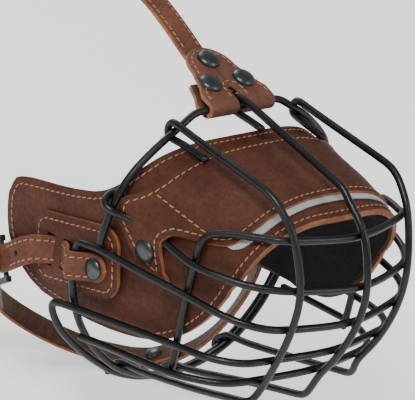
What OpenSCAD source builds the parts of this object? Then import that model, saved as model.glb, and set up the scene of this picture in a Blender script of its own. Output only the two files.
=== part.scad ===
// Basket muzzle for a broad-nosed dog: a cage of bent, coated wire round a felt-lined
// leather nose pad, with a riveted fork tab, a head strap and a buckled neck strap.
// The origin is in the middle of the snout opening, level with the cheek hoop. The nose
// points along -Y, up is +Z and the dog's left side is +X.

/* [Wire] */
// Diameter of the coated wire
wire_d = 4; // [3.6:0.1:4.2]
// Distance between the axes of two wires that are welded across each other
weld_gap = 3.9; // [3.8:0.05:4.2]
// Sides of the swept wire
wire_sides = 10; // [8:2:12]

/* [Leather] */
// Thickness of the pad's leather
leather_t = 3; // [2.5:0.1:3.2]
// Thickness of the felt glued inside the pad
felt_t = 3; // [2:0.1:4]
// Width of the neck strap
strap_w = 14; // [12:0.5:15]
// Width of the head strap
head_w = 15; // [13:0.5:16]
// Thickness of the straps
strap_t = 2.6; // [2.2:0.1:2.8]

/* [Fastenings] */
// Diameter of the domed rivet caps
cap_d = 12; // [10:0.5:12.5]
// Diameter of the small rivet caps on the straps
small_cap_d = 9; // [8:0.5:10]
// Diameter of the buckle's wire
buckle_wire_d = 3; // [2.6:0.1:3.2]

/* [Hidden] */
wire_r = wire_d / 2;
half_weld = weld_gap / 2;
round_fn = 48;

wire_colour = [0.06, 0.06, 0.065];
leather_colour = [0.30, 0.14, 0.08];
strap_colour = [0.36, 0.18, 0.10];
felt_colour = [0.03, 0.03, 0.035];
metal_colour = [0.12, 0.13, 0.14];
strip_colour = [0.62, 0.63, 0.64];

// ---- vectors and curves ----
function unit(v) = v / norm(v);
function flip(p) = [-p.x, p.y, p.z];
function reversed(list) = [for (i = [len(list) - 1:-1:0]) list[i]];
// Right half, centre point, then the same points mirrored to the left side
function both_sides(half, middle) = concat(half, [middle], [for (p = reversed(half)) flip(p)]);

function bend(a, b, c, d, t) = 0.5 * (2 * b + (c - a) * t + (2 * a - 5 * b + 4 * c - d) * t * t
    + (3 * b - a - 3 * c + d) * t * t * t);
// Smooth curve through every point, with a number of steps between points
function smooth(p, steps) = let (last = len(p) - 1) concat(
    [for (i = [0:last - 1]) for (k = [0:steps - 1])
        bend(p[max(i - 1, 0)], p[i], p[i + 1], p[min(i + 2, last)], k / steps)],
    [p[last]]);
// Smooth closed curve through every point
function smooth_ring(p, steps) = let (n = len(p))
    [for (i = [0:n - 1]) for (k = [0:steps - 1])
        bend(p[(i + n - 1) % n], p[i], p[(i + 1) % n], p[(i + 2) % n], k / steps)];

function direction(p, i, closed) = let (n = len(p))
    closed ? unit(p[(i + 1) % n] - p[(i + n - 1) % n])
           : unit(p[min(i + 1, n - 1)] - p[max(i - 1, 0)]);
function square_to(v, along) = unit(v - (v * along) * along);

// Closed skin over rings of points; crossed splits each quad along its other diagonal
module skin(rings, closed = false, crossed = false) {
    n = len(rings);
    m = len(rings[0]);
    spans = closed ? n : n - 1;
    walls = [for (i = [0:spans - 1]) for (k = [0:m - 1])
        let (a = i * m + k, b = i * m + (k + 1) % m,
             c = (i + 1) % n * m + (k + 1) % m, d = (i + 1) % n * m + k)
        each (crossed ? [[a, b, d], [b, c, d]] : [[a, b, c], [a, c, d]])];
    // Each end is a ladder of triangles between the two long sides of the section
    rungs = closed ? [] : [for (k = [0:m / 2 - 2])
        let (a = k, b = k + 1, c = m - 2 - k, d = m - 1 - k)
        each (b == c ? [[a, d, b]] : [[a, d, c], [a, c, b]])];
    ends = concat(rungs, [for (f = rungs) [for (j = reversed(f)) j + (n - 1) * m]]);
    polyhedron(points = [for (ring = rings) for (p = ring) p], faces = concat(walls, ends), convexity = 10);
}

// Round wire along a list of points; seen_from is a point off the wire that turns the section
module wire(path, seen_from, closed = false) {
    rings = [for (i = [0:len(path) - 1])
        let (t = direction(path, i, closed), u = square_to(path[i] - seen_from, t), v = cross(t, u))
        [for (k = [0:wire_sides - 1]) let (a = 360 * k / wire_sides)
            path[i] + wire_r * (cos(a) * u + sin(a) * v)]];
    skin([for (ring = rings) reversed(ring)], closed);
}

// Flat strap along a list of points; wide holds the direction of the width at each point
module strap(path, wide, width, thickness) {
    edge = thickness / 4;
    a = width / 2;
    b = thickness / 2;
    section = [[a, b - edge], [a - edge, b], [edge - a, b], [-a, b - edge],
               [-a, edge - b], [edge - a, -b], [a - edge, -b], [a, edge - b]];
    rings = [for (i = [0:len(path) - 1])
        let (t = direction(path, i, false), w = square_to(wide[i], t), n = cross(t, w))
        [for (q = section) path[i] + q.x * w + q.y * n]];
    skin([for (ring = rings) reversed(ring)]);
}

// Moves a child from its own axes to a place: X along t, Y along w, Z outwards
module place(p, t, w) {
    y = square_to(w, t);
    z = cross(t, y);
    multmatrix([[t.x, y.x, z.x, p.x], [t.y, y.y, z.y, p.y], [t.z, y.z, z.z, p.z], [0, 0, 0, 1]]) children();
}

// Domed rivet: a cap and a shank, standing on the XY plane
module rivet(d, shank) {
    dome_h = d * 0.22;
    rim = 0.5;
    shank_r = 1.5;
    dome = [for (a = [0:15:75]) [d / 2 * cos(a), rim + dome_h * sin(a)]];
    rotate_extrude($fn = round_fn)
        polygon(concat([[0, -shank], [shank_r, -shank], [shank_r, 0],
                        [d / 2, 0]], dome, [[0, rim + dome_h]]));
}

// ---- wire cage ----
hoop_top_z = 65.5;
hoop_flat = 23;
cheek_x = 77;
side_x = 79.5;
side_y = 14;
upright = [-62, -49, 0];
basket_middle = [0, -30, -15];
far_right = [-2000, 0, 0];

// Pushes a crossing point out of the basket, for the wire that lies on the outside
function outwards(p) = unit([0.8 * p.x, p.y + 35, 0.6 * (p.z + 5)]);
function outside(p) = p + half_weld * outwards(p);
function inside(p) = p - half_weld * outwards(p);

// Where the front wires cross the five hoops, from the top down
middle_cross = [[0, -93, 34.5], [0, -101, 11], [0, -99.5, -9], [0, -92.5, -27.5], [0, -84, -42]];
side_cross = [[-39, -85, 35.5], [-37, -93, 12], [-37, -92, -9], [-36, -86, -28.5], [-33, -79, -43]];

module rear_hoop() {
    shoulder = [[0.5 - hoop_flat, 0, hoop_top_z], [-30, 0, 64.3], [-38, -1, 60.3], [-48, -2, 55],
                [-59, -2, 47],
                [-68, -2, 38.5], [-74, -1, 27], [-77, -0.5, 14], [-78, 0, 7], [-cheek_x - 0.8, 0.3, 3.3]];
    color(wire_colour) {
        translate([-hoop_flat, 0, hoop_top_z]) rotate([0, 90, 0])
            cylinder(r = wire_r, h = 2 * hoop_flat, $fn = round_fn);
        for (side = [0, 1]) mirror([side, 0, 0]) wire(smooth(shoulder, 3), basket_middle);
    }
}

module cheek_hoop() {
    half = [[-20, 8, -84], [-38, 8.5, -77.5], [-50, 9.5, -69.5], [-61, 11, -59], [-70, 12.5, -46],
            [-76, 13.5, -32], [-79, side_y, -20], [-side_x, side_y, -8], [-side_x, 13, -2],
            [-79.2, 9, -0.5], [-cheek_x, 0, 0],
            [-72.3, -22, -2], [-65.8, -48, -4], [-60.5, -71, -6],
            [-51, -84.5, -7.5], inside(side_cross[2])];
    color(wire_colour)
        wire(smooth_ring(concat([[0, 8, -86]], half, [inside(middle_cross[2])],
                                [for (p = reversed(half)) flip(p)]), 3), basket_middle, closed = true);
}

module jaw_hoop() {
    half = [[-20, 12.5, -87], [-38, 13.5, -81], [-48, 14.5, -75], [-58, 16, -68], [-67, 18, -60.5],
            [-75, 20, -52],
            [-80, 22, -43], [-81.3, 21.5, -37.5], [-80.9, 17, -35.5], [-77.5, 6, -35], [-70.5, -20, -33.5],
            [-65.5, -47, -31], [-61, -66, -29.8], [-51, -79, -29], inside(side_cross[3])];
    color(wire_colour)
        wire(smooth_ring(concat([[0, 12.5, -89]], half, [inside(middle_cross[3])],
                                [for (p = reversed(half)) flip(p)]), 3), basket_middle, closed = true);
}

module bridge_hoop() {
    half = [[-69.3, -4.5, 27.5], [-70.2, 1.5, 28.4], [-74.5, 3.4, 27.4], [-79, 1.2, 24.8],
            [-78.6, -3.4, 22.7],
            [-74.5, -7, 21.2], [-70, -14, 19.2], [-66, -28, 15.5], [-66, -48, 12.4], [-62, -64, 12],
            [-52, -80, 11.5], inside(side_cross[1])];
    color(wire_colour) wire(smooth(both_sides(half, inside(middle_cross[1])), 4), basket_middle);
}

module top_hoop() {
    half = [upright + [0.5, 3.5, -49], upright + [0, 3, -30], upright + [0, 2.5, -4], upright + [0, 1, 14],
            upright + [-0.4, 0, 21], upright + [1.5, -2, 27], upright + [6.5, -10, 30.8], [-47, -74, 33.3],
            inside(side_cross[0])];
    color(wire_colour) wire(smooth(both_sides(half, inside(middle_cross[0])), 4), [0, -60, -200]);
}

module chin_hoop() {
    half = [[-72.5, 9, -51.5], [-70, -8, -49.5], [-66, -44.5, -46], [-60, -60, -44.5], [-50, -71.5, -43.5],
            inside(side_cross[4])];
    color(wire_colour) wire(smooth(both_sides(half, inside(middle_cross[4])), 4), basket_middle);
}

// A front wire hooks round the rear hoop, crosses the hoops and grips the two throat loops
module center_front_wire() {
    hook_r = 4.1;
    top = [[0, -19, 59.8], [0, -9, 60.8],
           for (a = [250:-40:90]) [0, -hook_r * cos(a), hoop_top_z + hook_r * sin(a)],
           [0, -12, 67.5], [0, -40, 61], [0, -66, 55], [0, -75, 52.5], [0, -82, 47]];
    front = [for (p = middle_cross) outside(p)];
    bottom = [[0, -81, -54], [0, -77, -57.8], [0, -68, -60.5], [0, -45, -67], [0, -5, -79.6], [0, 8, -82.1],
              [0, 13.2, -85], [0, 16.3, -88], [0, 16.6, -93]];
    color(wire_colour) wire(smooth(concat(top, front, bottom), 3), far_right);
}

module side_front_wire() {
    hook_x = -43.5;
    hook_z = 57.9;
    hook_r = 4.1;
    top = [[-41, -24, 51.5], [-42, -10, 53.2],
           for (a = [250:-40:90]) [hook_x, -1.5 - hook_r * cos(a), hook_z + hook_r * sin(a)],
           [hook_x, -12, 60.6], [hook_x, -38, 57.4], [-43.4, -62, 54.5], [-43, -70, 52.3],
           [-42, -77, 47.5]];
    front = [for (p = side_cross) outside(p)];
    bottom = [[-35.5, -77.5, -52], [-36.5, -73.5, -55.2], [-37, -65, -57.5], [-38, -40, -64],
              [-38, -5, -71.8], [-38, 8.5, -73.4], [-38, 14.3, -76.9], [-38, 17.4, -79.6],
              [-38, 17.6, -84]];
    color(wire_colour) wire(smooth(concat(top, front, bottom), 3), far_right);
}

module right_front_wire() {
    side_front_wire();
}

module left_front_wire() {
    mirror([1, 0, 0]) side_front_wire();
}

// ---- nose pad ----
// The pad is an arch over the nose with a flap down each cheek. An angle of 0 is the top
// of the nose, 90 is level with the origin, and past 90 each degree is 1 mm further down.
arch_w = 71;
arch_h = 55.5;
arch_power = 0.68;
function arch_half_w(y) = arch_w + 0.24 * min(y, 0);
function arch_top(y) = arch_h + 0.19 * min(y, 0);
function on_arch(angle, y, lift) = let (a = abs(angle), side = angle < 0 ? -1 : 1,
        w = arch_half_w(y) + lift, h = arch_top(y) + lift, down = max(a - 90, 0))
    a < 90 ? [side * w * pow(sin(a), arch_power), y, h * pow(cos(a), arch_power)]
           : [side * (w - 3 * pow(down / 44, 2)), y, -down];

pad_back = [[0, -8], [44, -2], [55, 1], [64, 5], [70, 10], [74.5, 17], [78, 28], [82, 46], [85, 64],
            [87, 72], [92, 76], [112, 73], [124, 65], [131, 54], [134, 44]];
pad_front = [[0, -80], [16, -79], [43, -77], [64, -74], [82, -70], [90, -65], [100, -60], [110, -53],
             [120, -43], [127, -31], [131, -15], [134, 18]];
band_back = [[0, -19], [30, -18], [50, -15], [62, -10], [72, -4], [80, -4], [88, -12], [92, -22],
             [95, -34]];
band_front = [[0, -66], [20, -67], [40, -67], [55, -65], [62, -63], [66, -60], [70, -53], [73, -43],
              [76, -33], [81, -30], [86, -29.5], [95, -36]];

// Sheet on the arch between two outlines, from one lift above the pad's face to another.
// Only its two end rows are inset, so that a lining has the same facets as the pad.
module arch_sheet(last, step, back, front, low, high, rows, inset = 0, crossed = false) {
    angles = [for (a = [-last:step:last]) a];
    rings = [for (a = angles)
        let (y0 = lookup(abs(a), back), y1 = lookup(abs(a), front),
             ys = [for (k = [0:rows]) y0 + (y1 - y0) * k / rows - (k == 0 ? inset : k == rows ? -inset : 0)])
        concat([for (y = ys) on_arch(a, y, high)], [for (y = reversed(ys)) on_arch(a, y, low)])];
    skin([for (ring = rings) reversed(ring)], crossed = crossed);
}

module nose_pad() {
    color(leather_colour) arch_sheet(134, 4, pad_back, pad_front, -leather_t, 0, 8);
}

module felt_lining() {
    inset = 3;
    glue_t = 0.25;
    color(felt_colour)
        arch_sheet(130, 4, pad_back, pad_front, -leather_t - felt_t, -leather_t - glue_t, 8, inset,
                   crossed = true);
}

module overlay_band() {
    color(leather_colour) arch_sheet(95, 2.5, band_back, band_front, 0, 2.2, 4);
}

// Light strip sewn on along the front edge of the overlay band
module grey_strip() {
    angles = [for (a = [-60:5:60]) a];
    rings = [for (a = angles) let (y = lookup(abs(a), band_front))
        [on_arch(a, y - 0.2, 0.1), on_arch(a, y - 0.2, 0.8),
         on_arch(a, y - 2.6, 0.8), on_arch(a, y - 2.6, 0.1)]];
    color(strip_colour) skin(rings);
}

// ---- cheeks ----
patch_back = arch_w + 0.2;
patch_t = 2.5;
patch_face = patch_back + patch_t;
bar_face = 76.6;
bar_ys = [28.7, 34.3];
slot_w = 6.4;
tab_z = -13.5;
tab_rivet_y = 3;
tab_rivet_z = -11.5;

// A rounded patch with two slots; the bar between them stands off the pad for the strap
module cheek_patch() {
    patch_l = 60;
    patch_h = 36;
    corner_r = 10;
    slot_l = strap_w + 2;
    tilt = -13;
    slot_z = tab_z - slot_l / 2 - 2.1;
    bar_w = bar_ys[1] - bar_ys[0];
    bar_room = 0.9;
    difference() {
        union() {
            translate([-patch_face, 20, -12]) rotate([tilt, 0, 0]) rotate([90, 0, 90])
                linear_extrude(patch_t) union() {
                    square([patch_l - 2 * corner_r, patch_h], center = true);
                    square([patch_l, patch_h - 2 * corner_r], center = true);
                    for (sx = [-1, 1]) for (sy = [-1, 1])
                        translate([sx * (patch_l / 2 - corner_r), sy * (patch_h / 2 - corner_r)])
                            circle(r = corner_r, $fn = round_fn);
                }
            translate([-bar_face, bar_ys[0], slot_z - 3]) cube([bar_face - patch_back, bar_w, slot_l + 6]);
        }
        for (y = [bar_ys[0] - slot_w, bar_ys[1]]) translate([-bar_face - 1, y, slot_z])
            cube([bar_face - patch_back + 2, slot_w, slot_l]);
        translate([-patch_back - strap_t - bar_room, bar_ys[0] - 1, slot_z])
            cube([strap_t + bar_room + 1, bar_w + 2, slot_l]);
        translate([-patch_face - 1, tab_rivet_y, tab_rivet_z]) rotate([0, 90, 0])
            cylinder(d = 3.2, h = patch_t + 2, $fn = round_fn);
    }
}

module right_cheek_patch() {
    color(leather_colour) cheek_patch();
}

module left_cheek_patch() {
    color(leather_colour) mirror([1, 0, 0]) cheek_patch();
}

// The end of the strap: over the side wire, in through one slot and out through the other
strap_over_patch = patch_face + 0.3 + strap_t / 2;
strap_at_hinge = bar_face + 0.3 + strap_t / 2;
hinge_y = 46;
module strap_tab() {
    half_t = strap_t / 2;
    under = patch_back + half_t;
    over_wire = side_x + wire_r + 0.15 + half_t;
    route = [[-strap_over_patch, -3, -11], [-strap_over_patch, 3, -11.5], [-strap_over_patch - 1.4, 7, -12],
             [-over_wire, 12, -12.6], [-over_wire, 15.5, -13], [-strap_at_hinge - 1, 20.5, -13.7],
             [-under - 2.4, 25.4, -14.5], [-under, 29.8, -15.3], [-under, 33.2, -15.8],
             [-under - 2.4, 37.4, -16.6],
             [-strap_at_hinge + 0.6, 41, -17.6], [-strap_at_hinge, hinge_y + 1, -18.6]];
    path = smooth(route, 3);
    strap(path, [for (p = path) [0, 0.15, 1]], strap_w, strap_t);
}

module right_strap_tab() {
    color(strap_colour) strap_tab();
}

module left_strap_tab() {
    color(strap_colour) mirror([1, 0, 0]) strap_tab();
}

module overlay_rivets() {
    color(metal_colour) for (side = [0, 1]) mirror([side, 0, 0])
        place(on_arch(-87, -20.5, 2.2), [0, 1, 0], [0, 0, -1]) rivet(cap_d, 4);
}

module tab_rivets() {
    color(metal_colour) for (side = [0, 1]) mirror([side, 0, 0])
        translate([-strap_over_patch - strap_t / 2, tab_rivet_y, tab_rivet_z]) rotate([0, -90, 0])
            rivet(cap_d - 1, 4);
}

// ---- fork tab and head strap ----
// The tab turns on the straight top of the rear hoop; X is its width, s runs up the tab
tab_lean = 20;
ply_t = 2.4;
eye_r = wire_r + 0.06;
fork_half = 3;
leg_half = 22;

module on_tab() {
    translate([0, 0, hoop_top_z]) rotate([tab_lean, 0, 0]) children();
}

module fork_outline(reach) {
    neck_half = 14.5;
    waist_half = 18.5;
    difference() {
        union() {
            polygon([[-leg_half, 0], [-leg_half, 6], [-waist_half, 12], [-neck_half, reach - neck_half],
                     [neck_half, reach - neck_half], [waist_half, 12], [leg_half, 6], [leg_half, 0]]);
            translate([0, reach - neck_half]) circle(r = neck_half, $fn = round_fn);
        }
        translate([-fork_half, -10]) square([2 * fork_half, 17]);
        translate([0, 7]) circle(r = fork_half, $fn = round_fn);
    }
}

module fork_tab() {
    tab_l = 38;
    back_l = 20;
    color(leather_colour) on_tab() difference() {
        union() {
            translate([0, 0, eye_r]) linear_extrude(ply_t) fork_outline(tab_l);
            translate([0, 0, -eye_r - ply_t]) linear_extrude(ply_t) intersection() {
                fork_outline(tab_l);
                translate([-leg_half, 0]) square([2 * leg_half, back_l]);
            }
            for (side = [-1, 1]) difference() {
                translate([side * (fork_half + leg_half) / 2, 0, 0]) rotate([0, 90, 0])
                    cylinder(r = eye_r + ply_t, h = leg_half - fork_half, center = true, $fn = round_fn);
                translate([-leg_half - 1, 0, -10]) cube([2 * leg_half + 2, 10, 20]);
            }
        }
        translate([-leg_half - 1, 0, 0]) rotate([0, 90, 0])
            cylinder(r = eye_r, h = 2 * leg_half + 2, $fn = round_fn);
    }
}

module fork_rivets() {
    low_s = 12.5;
    top_s = 28.5;
    color(metal_colour) on_tab()
        for (q = [[-11.5, low_s], [11.5, low_s], [0, top_s]])
            translate([q.x, q.y, eye_r + ply_t]) rivet(cap_d, 4.5);
}

head_points = [[0, 8, 68.4], [0, 18, 72.1], [0, 33, 77.5], [0, 50, 86.5], [0, 66, 94], [0, 82, 99],
               [0, 101, 103.5], [-1, 122, 107], [-2, 145, 109], [-5, 168, 105], [-9, 186, 91],
               [-14, 197, 69], [-19, 200, 42], [-24, 195, 14], [-30, 181, -11], [-37, 163, -31],
               [-42, 144, -48], [-45, 127, -59], [-45.8, 112.9, -65.6]];
head_wide = concat([for (i = [0:10]) [1, 0, 0]],
                   [[1, 0.02, -0.02], [1, 0.05, -0.08], [1, 0.08, -0.16], [0.96, 0.1, -0.27],
                    [0.92, 0.14, -0.37], [0.87, 0.2, -0.44], [0.81, 0.27, -0.52], [0.77, 0.3, -0.56]]);
head_split = 8;
flex_gap = 0.6;

function part_of(list, first, last) = [for (i = [first:last]) list[i]];
// The strap's end is drawn back so that the two halves stay apart when they flex
function drawn_back(p, q) = p + flex_gap * unit(q - p);

module head_strap_front() {
    p = part_of(head_points, 0, head_split);
    ends = concat(part_of(p, 0, head_split - 1), [drawn_back(p[head_split], p[head_split - 1])]);
    path = smooth(ends, 2);
    color(strap_colour) difference() {
        strap(path, [for (q = path) [1, 0, 0]], head_w, strap_t);
        on_tab() translate([0, 28.5, -5]) cylinder(d = 3.1, h = 12, $fn = round_fn);
    }
}

module head_strap_rear() {
    last = len(head_points) - 1;
    p = part_of(head_points, head_split, last);
    path = smooth(concat([drawn_back(p[0], p[1])], part_of(p, 1, len(p) - 1)), 2);
    wide = smooth(part_of(head_wide, head_split, last), 2);
    color(strap_colour) strap(path, wide, head_w, strap_t);
}

// ---- neck strap ----
// One curve from the buckle round the nape to the left cheek, with the strap's width at each point
neck_points = [[-68.8, 85, -48], [-65.5, 91, -54], [-58, 99, -63.5], [-46, 106.5, -75], [-34, 111, -84.5],
               [-22, 111, -94], [-10, 105.5, -102], [2, 95.5, -108], [14, 83, -111.5], [26, 69.5, -112],
               [32, 63, -110.9], [37, 57.5, -108.5],
               [47, 48.5, -101.5], [56, 42, -91.5], [64, 38, -79.5], [70.5, 35.5, -66], [74.5, 35, -52],
               [77.6, 37.5, -37], [79, 42, -26], [79.2, 46, -18.5]];
neck_wide = [[-0.1, -0.5, -0.85], [-0.1, -0.52, -0.85], [-0.15, -0.58, -0.8], [-0.25, -0.65, -0.7],
             [-0.33, -0.68, -0.62], [-0.42, -0.67, -0.55], [-0.5, -0.66, -0.48], [-0.57, -0.64, -0.42],
             [-0.62, -0.62, -0.36], [-0.66, -0.6, -0.3],
             [-0.68, -0.6, -0.25], [-0.7, -0.6, -0.2], [-0.72, -0.62, -0.1], [-0.74, -0.65, 0.0],
             [-0.72, -0.7, 0.1], [-0.66, -0.76, 0.15],
             [-0.5, -0.85, 0.15], [-0.25, -0.95, 0.15], [-0.05, -0.95, 0.25], [0, -0.9, 0.4]];
lap_first = 10;
lap_last = 12;
lap_lift = strap_t + 0.1;
loop_at = 3;

module strap_along(points, wide, lift) {
    path = smooth(points, 2);
    hints = smooth(wide, 2);
    raised = [for (i = [0:len(path) - 1]) let (t = direction(path, i, false))
        path[i] + lift * cross(t, square_to(hints[i], t))];
    strap(raised, hints, strap_w, strap_t);
}

// Buckle: X runs along the strap from the heel bar, Y is across it, Z points outwards
heel = [-76, 66.5, -34.5];
buckle_along = unit([0.18, 0.80, -0.57]);
buckle_wide = [-0.1, -0.5, -0.85];
buckle_r = buckle_wire_d / 2;
frame_l = 17;
frame_half = strap_w / 2 + 2 + buckle_r;
under_bar = -(buckle_r + 0.3 + strap_t / 2);
module on_buckle() {
    place(heel, buckle_along, buckle_wide) children();
}
function from_buckle(p) = let (w = square_to(buckle_wide, buckle_along), n = cross(buckle_along, w))
    heel + p.x * buckle_along + p.y * w + p.z * n;

module buckle_frame() {
    outer_r = 4;
    inner_r = 2;
    back = -2.2;
    front = frame_l + buckle_r;
    half = frame_half + buckle_r;
    bar = buckle_wire_d;
    color(metal_colour) on_buckle() {
        translate([0, 0, -buckle_r]) linear_extrude(bar) difference() {
            union() {
                translate([back, -half]) square([front - outer_r - back, 2 * half]);
                translate([back, outer_r - half]) square([front - back, 2 * (half - outer_r)]);
                for (side = [-1, 1]) translate([front - outer_r, side * (half - outer_r)])
                    circle(r = outer_r, $fn = round_fn);
            }
            translate([back - 1, bar - half]) square([front - bar - inner_r - back + 1, 2 * (half - bar)]);
            translate([back - 1, bar + inner_r - half])
                square([front - bar - back + 1, 2 * (half - bar - inner_r)]);
            for (side = [-1, 1]) translate([front - bar - inner_r, side * (half - bar - inner_r)])
                circle(r = inner_r, $fn = round_fn);
        }
        rotate([90, 0, 0]) cylinder(r = buckle_r - 0.1, h = 2 * half - bar, center = true, $fn = round_fn);
    }
}

module buckle_prong() {
    prong_r = 1.1;
    eye = buckle_r - 0.1 + 0.05;
    rest_z = buckle_r + prong_r + 0.05;
    reach = frame_l + 2;
    rise = atan2(rest_z + 0.2, frame_l - buckle_r);
    color(metal_colour) on_buckle() difference() {
        union() {
            rotate([90, 0, 0]) cylinder(r = eye + 1.3, h = 2.6, center = true, $fn = round_fn);
            rotate([0, 90 - rise, 0]) cylinder(r = prong_r, h = reach, $fn = round_fn);
        }
        rotate([90, 0, 0]) cylinder(r = eye, h = 5, center = true, $fn = round_fn);
    }
}

module buckle_strap() {
    fold_in = buckle_r + 0.1;
    fold_out = fold_in + 2;
    route = [[-81.1, 46, -18.5], [-80.9, 50, -22], [-79.6, 54.5, -25.5], [-77.6, 59, -29],
             from_buckle([-3, 0, fold_out - 1]), from_buckle([-0.6, 0, fold_out - 1])];
    color(strap_colour) difference() {
        union() {
            path = smooth(route, 3);
            strap(path, [for (p = path) [-0.1, -0.5, -0.85]], strap_w, 2);
            translate([-82.1, hinge_y, -18.5]) rotate([0, 90, 0])
                cylinder(d = strap_w, h = 2, $fn = round_fn);
            on_buckle() rotate([90, 0, 0])
                cylinder(r = fold_out, h = strap_w, center = true, $fn = round_fn);
        }
        on_buckle() rotate([90, 0, 0]) cylinder(r = fold_in, h = strap_w + 2, center = true, $fn = round_fn);
        on_buckle() translate([-4.5, -1.8, -6]) cube([12, 3.6, 12]);
        on_buckle() translate([-14, 0, -6]) cylinder(d = 3, h = 14, $fn = round_fn);
    }
}

module neck_strap() {
    tip = [[-3.6, 0, 5.4], [1, 0, 5], [5, 0, 3.4], [9.6, 0, 0], [13.8, 0, -2.7],
           [frame_l, 0, under_bar - 0.3]];
    points = concat([for (q = tip) from_buckle(q)], part_of(neck_points, 0, lap_last));
    wide = concat([for (q = tip) buckle_wide], part_of(neck_wide, 0, lap_last));
    color(strap_colour) difference() {
        strap_along(points, wide, 0);
        on_buckle() translate([2.4, -1.7, -3]) cube([11.1, 3.4, 8]);
    }
}

module far_strap() {
    last = len(neck_points) - 1;
    color(strap_colour)
        strap_along(part_of(neck_points, lap_first, last), part_of(neck_wide, lap_first, last), lap_lift);
}

// Two-sided rivet through the lap of the neck strap's two lengths
module lap_rivet() {
    at = lap_first + 1;
    t = direction(neck_points, at, false);
    color(metal_colour) place(neck_points[at], t, neck_wide[at]) {
        translate([0, 0, lap_lift + strap_t / 2]) rivet(small_cap_d, lap_lift + strap_t);
        translate([0, 0, -strap_t / 2]) rotate([180, 0, 0]) rivet(small_cap_d, 0.5);
    }
}

// Leather loop on the end of the head strap, which the neck strap runs through
module nape_loop() {
    wall = 2;
    room_y = strap_w + 6;
    room_z = strap_t + 5;
    loop_l = 12;
    t = direction(neck_points, loop_at, false);
    color(strap_colour) place(neck_points[loop_at], t, neck_wide[loop_at])
        translate([-loop_l / 2, 0, 0]) rotate([90, 0, 90]) linear_extrude(loop_l) difference() {
            union() {
                square([room_y, room_z + 2 * wall], center = true);
                square([room_y + 2 * wall, room_z], center = true);
                for (sx = [-1, 1]) for (sy = [-1, 1]) translate([sx * room_y / 2, sy * room_z / 2])
                    circle(r = wall, $fn = round_fn);
            }
            square([room_y, room_z], center = true);
        }
}

module loop_rivet() {
    at = len(head_points) - 3;
    t = direction(head_points, at, false);
    color(metal_colour) place(head_points[at], t, -head_wide[at])
        translate([0, 0, strap_t / 2]) rivet(small_cap_d, strap_t);
}

rear_hoop();
cheek_hoop();
jaw_hoop();
bridge_hoop();
top_hoop();
chin_hoop();
center_front_wire();
right_front_wire();
left_front_wire();
nose_pad();
felt_lining();
overlay_band();
grey_strip();
right_cheek_patch();
left_cheek_patch();
right_strap_tab();
left_strap_tab();
overlay_rivets();
tab_rivets();
fork_tab();
fork_rivets();
head_strap_front();
head_strap_rear();
buckle_strap();
neck_strap();
far_strap();
buckle_frame();
buckle_prong();
nape_loop();
loop_rivet();
lap_rivet();
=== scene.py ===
import bisect
import math

import bmesh
import bpy
from mathutils import Matrix, Vector, noise


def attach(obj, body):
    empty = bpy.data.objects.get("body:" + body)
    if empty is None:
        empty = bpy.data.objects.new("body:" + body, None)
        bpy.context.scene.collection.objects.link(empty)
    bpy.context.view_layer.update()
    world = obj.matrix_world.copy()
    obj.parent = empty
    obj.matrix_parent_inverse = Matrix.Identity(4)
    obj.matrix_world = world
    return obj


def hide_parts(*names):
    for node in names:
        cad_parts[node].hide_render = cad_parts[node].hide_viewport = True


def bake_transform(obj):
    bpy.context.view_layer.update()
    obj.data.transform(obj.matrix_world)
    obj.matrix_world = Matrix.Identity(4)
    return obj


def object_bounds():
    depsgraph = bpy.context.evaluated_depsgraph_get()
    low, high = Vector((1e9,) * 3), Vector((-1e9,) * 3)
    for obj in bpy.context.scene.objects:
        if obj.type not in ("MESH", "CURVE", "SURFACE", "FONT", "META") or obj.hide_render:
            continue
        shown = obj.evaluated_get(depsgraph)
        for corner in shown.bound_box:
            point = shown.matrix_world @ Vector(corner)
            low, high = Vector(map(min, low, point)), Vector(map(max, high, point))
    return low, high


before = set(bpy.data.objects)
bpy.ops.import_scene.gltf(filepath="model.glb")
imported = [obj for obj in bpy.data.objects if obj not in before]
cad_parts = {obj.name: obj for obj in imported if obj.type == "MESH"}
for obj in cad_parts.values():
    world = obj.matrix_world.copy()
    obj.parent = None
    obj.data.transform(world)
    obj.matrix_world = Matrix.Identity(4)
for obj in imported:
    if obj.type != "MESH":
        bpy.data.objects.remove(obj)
cad_low, cad_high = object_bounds()
MM = 0.001

# ---- Camera, light and floor ----
# A long lens looks at the dog's right cheek from the front and a little above, tilted
# over, under broad soft lamps. The muzzle stands over a plain pale floor.
right = Vector((0.710, -0.682, 0.177))
back = Vector((-0.689, -0.620, 0.375)).normalized()
right = (right - right.dot(back) * back).normalized()
up = back.cross(right)
camera_data = bpy.data.cameras.new("camera")
camera_data.lens = 225.5
camera_data.sensor_width = 36
camera_data.clip_start, camera_data.clip_end = 0.05, 30
camera = bpy.data.objects.new("camera", camera_data)
aim_right, aim_up, camera_away = -0.003456, 0.01276, 1.3
camera.matrix_world = Matrix.LocRotScale(
    aim_right * right + aim_up * up + camera_away * back,
    Matrix((right, up, back)).transposed().to_quaternion(), None)
bpy.context.scene.collection.objects.link(camera)
bpy.context.scene.camera = camera

world = bpy.data.worlds.new("studio")
world.use_nodes = True
world.node_tree.nodes["Background"].inputs["Color"].default_value = (1, 1, 1, 1)
world.node_tree.nodes["Background"].inputs["Strength"].default_value = 0.4
bpy.context.scene.world = world


def lamp(name, place, size, power):
    data = bpy.data.lights.new(name, "AREA")
    data.shape, data.size, data.energy = "DISK", size, power
    obj = bpy.data.objects.new(name, data)
    obj.location = place
    obj.rotation_mode = "QUATERNION"
    obj.rotation_quaternion = (-Vector(place)).to_track_quat("-Z", "Y")
    bpy.context.scene.collection.objects.link(obj)


lamp("key_lamp", (-0.75, -0.35, 1.0), 0.5, 13)
lamp("front_lamp", (0.5, -1.2, 0.7), 0.6, 7)
lamp("rear_lamp", (0.3, 1.1, 0.9), 0.8, 8)

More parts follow.
